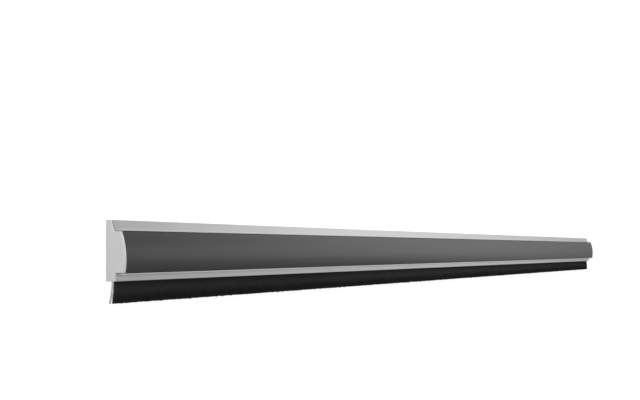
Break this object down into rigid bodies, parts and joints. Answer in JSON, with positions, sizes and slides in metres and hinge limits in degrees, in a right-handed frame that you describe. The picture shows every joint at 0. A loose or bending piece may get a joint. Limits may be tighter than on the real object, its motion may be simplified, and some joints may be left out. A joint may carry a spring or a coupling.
{
  "type": "door draught strip",
  "caption": "Straight aluminium door draught strip with a crowned dark cover that clips over its screw slots, a brush along one edge and plain end caps.",
  "frame": {"origin": "centre of the overall footprint on the plane of the back face, which the strip lies on", "axes": "+X along the strip, +Y across it towards the plain edge (the brush points to -Y), +Z out of the show side"},
  "size_m": [1, 0.0408, 0.0113],
  "materials": {
    "anodised_aluminium": "satin natural anodised",
    "cover_plastic": "satin extruded, dark grey",
    "backing_plastic": "extruded, black",
    "bristle_nylon": "fine drawn filament, near black",
    "cap_plastic": "satin moulded, light grey"
  },
  "bodies": {
    "root": {"carrier_profile": "anodised_aluminium", "cover_strip": "cover_plastic", "brush_backing": "backing_plastic", "brush_bristles": "bristle_nylon", "end_cap_left": "cap_plastic", "end_cap_right": "cap_plastic"}
  },
  "joints": []
}
